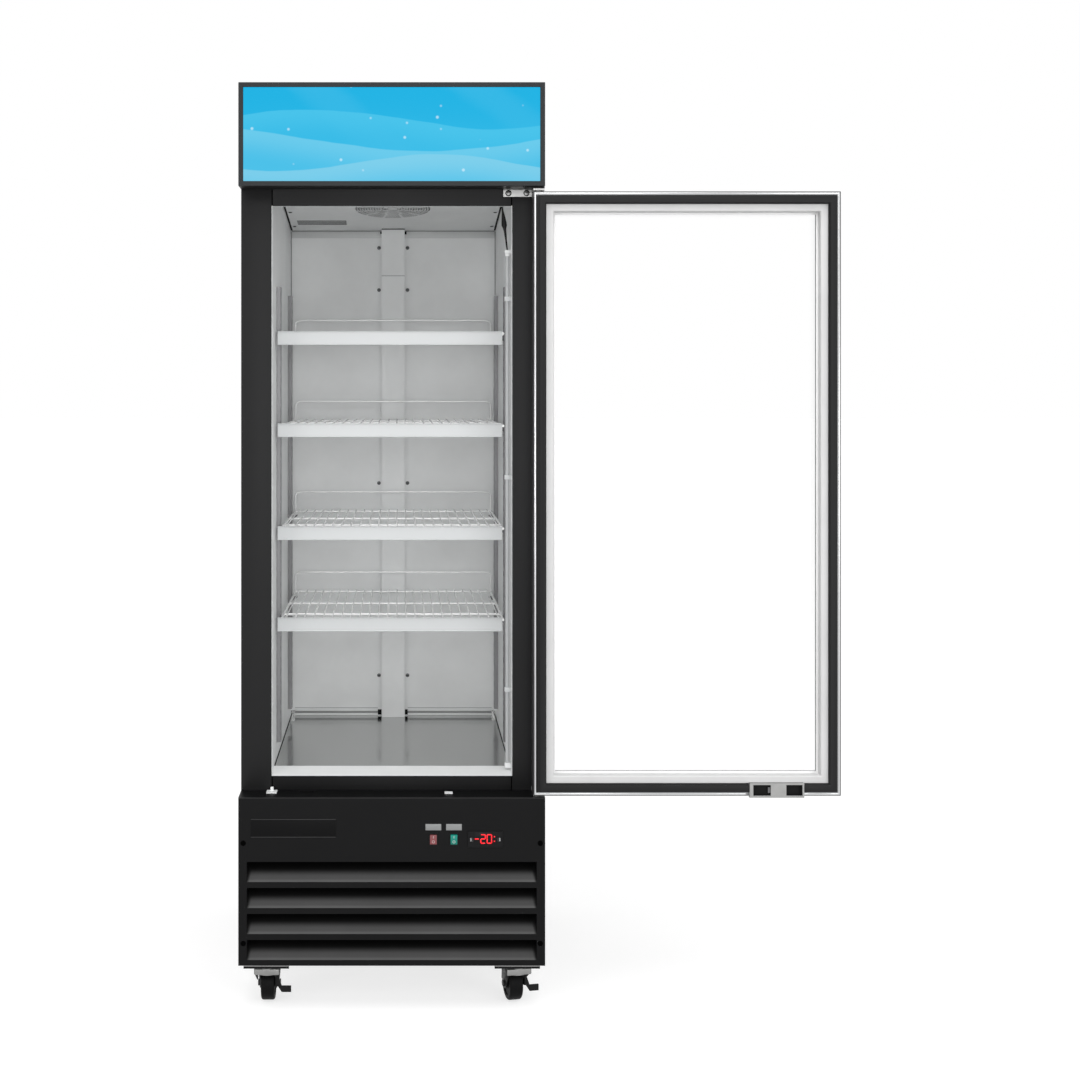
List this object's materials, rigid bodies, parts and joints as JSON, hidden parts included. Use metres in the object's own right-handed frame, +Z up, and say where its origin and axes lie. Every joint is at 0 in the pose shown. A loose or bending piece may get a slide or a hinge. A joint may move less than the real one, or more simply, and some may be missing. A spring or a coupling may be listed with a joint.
{
  "type": "glass door freezer",
  "caption": "Upright glass door display freezer on swivel casters, with a lit header sign, a hinged glazed door, wire shelves, a louvred lower panel with controls and a cooler in the roof.",
  "frame": {"origin": "on the floor, midway across the cabinet and below its front face, the plane that the door shuts against", "axes": "+X to the right as seen from the front, +Y from the front into the cabinet, +Z up"},
  "size_m": [1.346, 0.7475, 2.077],
  "materials": {
    "black_paint": "satin",
    "liner_paint": "satin",
    "white_wire": "gloss",
    "steel": "satin",
    "dark_steel": "satin",
    "zinc": "satin",
    "aluminium": "satin",
    "glass": "polished",
    "gasket_rubber": "matte",
    "wheel_rubber": "matte",
    "lead_rubber": "matte",
    "white_plastic": "matte",
    "strip_plastic": "gloss",
    "grey_plastic": "satin",
    "black_plastic": "satin",
    "key_plastic": "satin",
    "lamp": "gloss",
    "sign": "gloss",
    "red_rocker": "gloss",
    "green_rocker": "gloss",
    "foam": "matte",
    "compressor_paint": "satin",
    "fan_plastic": "matte",
    "lever_paint": "satin"
  },
  "bodies": {
    "cabinet": {"cabinet_shell": "black_paint", "rear_panel": "black_paint", "rear_grille": "black_paint", "foam_insulation": "foam", "front_frame": "black_paint", "breaker_strips": "white_plastic", "inner_liner": "liner_paint", "liner_floor": "steel", "rear_duct_cover": "liner_paint", "shelf_standards": "dark_steel", "shelf_clips": "steel", "price_strips": "strip_plastic", "wire_shelf_1": "white_wire", "wire_shelf_2": "white_wire", "wire_shelf_3": "white_wire", "wire_shelf_4": "white_wire", "evaporator_cover": "liner_paint", "evaporator_coil": "aluminium", "evaporator_fan_motor": "dark_steel", "cabin_lamp": "lamp", "lamp_lead": "lead_rubber", "lightbox_housing": "black_paint", "lightbox_bezel": "black_paint", "sign_panel": "sign", "lightbox_lamp": "lamp", "control_panel": "black_paint", "switch_bodies": "black_plastic", "controller_body": "black_plastic", "ledge_fittings": "white_plastic", "door_hinges": "zinc", "caster_plates": "zinc", "caster_bolts": "zinc", "base_pan": "steel", "compressor": "compressor_paint", "condenser_coil": "aluminium", "condenser_fan_motor": "dark_steel", "drip_tray": "black_plastic"},
    "door": {"door_frame": "aluminium", "glass_panes": "glass", "glass_spacer": "aluminium", "glazing_frame": "grey_plastic", "door_gasket": "gasket_rubber", "lock_housing": "zinc"},
    "lock": {"lock_barrel": "steel"},
    "power_rocker": {"rocker_power": "red_rocker"},
    "light_rocker": {"rocker_light": "green_rocker"},
    "left_key": {"controller_button_left": "key_plastic"},
    "right_key": {"controller_button_right": "key_plastic"},
    "cooler_fan": {"evaporator_fan": "fan_plastic"},
    "machine_fan": {"condenser_fan": "fan_plastic"},
    "fork_front_left": {"caster_fork_front_left": "zinc"},
    "wheel_front_left": {"caster_wheel_front_left": "wheel_rubber"},
    "fork_front_right": {"caster_fork_front_right": "zinc"},
    "wheel_front_right": {"caster_wheel_front_right": "wheel_rubber"},
    "fork_rear_left": {"caster_fork_rear_left": "zinc"},
    "wheel_rear_left": {"caster_wheel_rear_left": "wheel_rubber"},
    "fork_rear_right": {"caster_fork_rear_right": "zinc"},
    "wheel_rear_right": {"caster_wheel_rear_right": "wheel_rubber"},
    "lever_front_left": {"brake_lever_front_left": "lever_paint"},
    "lever_front_right": {"brake_lever_front_right": "lever_paint"}
  },
  "joints": [
    {"name": "door_hinge", "type": "hinge", "parent": "cabinet", "child": "door", "pos_m": [0.33, -0.038, 0], "axis": [0, 0, 1], "range_deg": [-180, 0]},
    {"name": "lock_turn", "type": "hinge", "parent": "door", "child": "lock", "pos_m": [0.8615, -0.05, 0.4967], "axis": [0, -1, 0], "range_deg": [0, 90]},
    {"name": "power_switch", "type": "hinge", "parent": "cabinet", "child": "power_rocker", "pos_m": [0.093, -0.059, 0.385], "axis": [1, 0, 0], "range_deg": [-16, 0]},
    {"name": "light_switch", "type": "hinge", "parent": "cabinet", "child": "light_rocker", "pos_m": [0.139, -0.059, 0.385], "axis": [1, 0, 0], "range_deg": [-16, 0]},
    {"name": "left_key_press", "type": "slide", "parent": "cabinet", "child": "left_key", "axis": [0, 1, 0], "range_m": [0, 0.0006], "stiffness_N_per_m": 900, "springref_m": -0.0006},
    {"name": "right_key_press", "type": "slide", "parent": "cabinet", "child": "right_key", "axis": [0, 1, 0], "range_m": [0, 0.0006], "stiffness_N_per_m": 900, "springref_m": -0.0006},
    {"name": "cooler_fan_spin", "type": "hinge", "parent": "cabinet", "child": "cooler_fan", "pos_m": [0, 0.36, 1.875], "axis": [0, 0, 1], "continuous": true},
    {"name": "machine_fan_spin", "type": "hinge", "parent": "cabinet", "child": "machine_fan", "pos_m": [-0.04, 0.15, 0.262], "axis": [0, 1, 0], "continuous": true},
    {"name": "swivel_front_left", "type": "hinge", "parent": "cabinet", "child": "fork_front_left", "pos_m": [-0.281, -0.016, 0], "axis": [0, 0, 1], "continuous": true},
    {"name": "roll_front_left", "type": "hinge", "parent": "fork_front_left", "child": "wheel_front_left", "pos_m": [-0.281, 0.012, 0.0375], "axis": [1, 0, 0], "continuous": true},
    {"name": "brake_front_left", "type": "hinge", "parent": "fork_front_left", "child": "lever_front_left", "pos_m": [-0.281, 0.012, 0.0375], "axis": [1, 0, 0], "range_deg": [-25, 0]},
    {"name": "swivel_front_right", "type": "hinge", "parent": "cabinet", "child": "fork_front_right", "pos_m": [0.281, -0.016, 0], "axis": [0, 0, 1], "continuous": true},
    {"name": "roll_front_right", "type": "hinge", "parent": "fork_front_right", "child": "wheel_front_right", "pos_m": [0.27542, 0.01144, 0.0375], "axis": [0.9799, 0.1994, 0], "continuous": true},
    {"name": "brake_front_right", "type": "hinge", "parent": "fork_front_right", "child": "lever_front_right", "pos_m": [0.27542, 0.01144, 0.0375], "axis": [0.9799, 0.1994, 0], "range_deg": [-25, 0]},
    {"name": "swivel_rear_left", "type": "hinge", "parent": "cabinet", "child": "fork_rear_left", "pos_m": [-0.281, 0.56, 0], "axis": [0, 0, 1], "continuous": true},
    {"name": "roll_rear_left", "type": "hinge", "parent": "fork_rear_left", "child": "wheel_rear_left", "pos_m": [-0.281, 0.588, 0.0375], "axis": [1, 0, 0], "continuous": true},
    {"name": "swivel_rear_right", "type": "hinge", "parent": "cabinet", "child": "fork_rear_right", "pos_m": [0.281, 0.56, 0], "axis": [0, 0, 1], "continuous": true},
    {"name": "roll_rear_right", "type": "hinge", "parent": "fork_rear_right", "child": "wheel_rear_right", "pos_m": [0.281, 0.588, 0.0375], "axis": [1, 0, 0], "continuous": true}
  ]
}
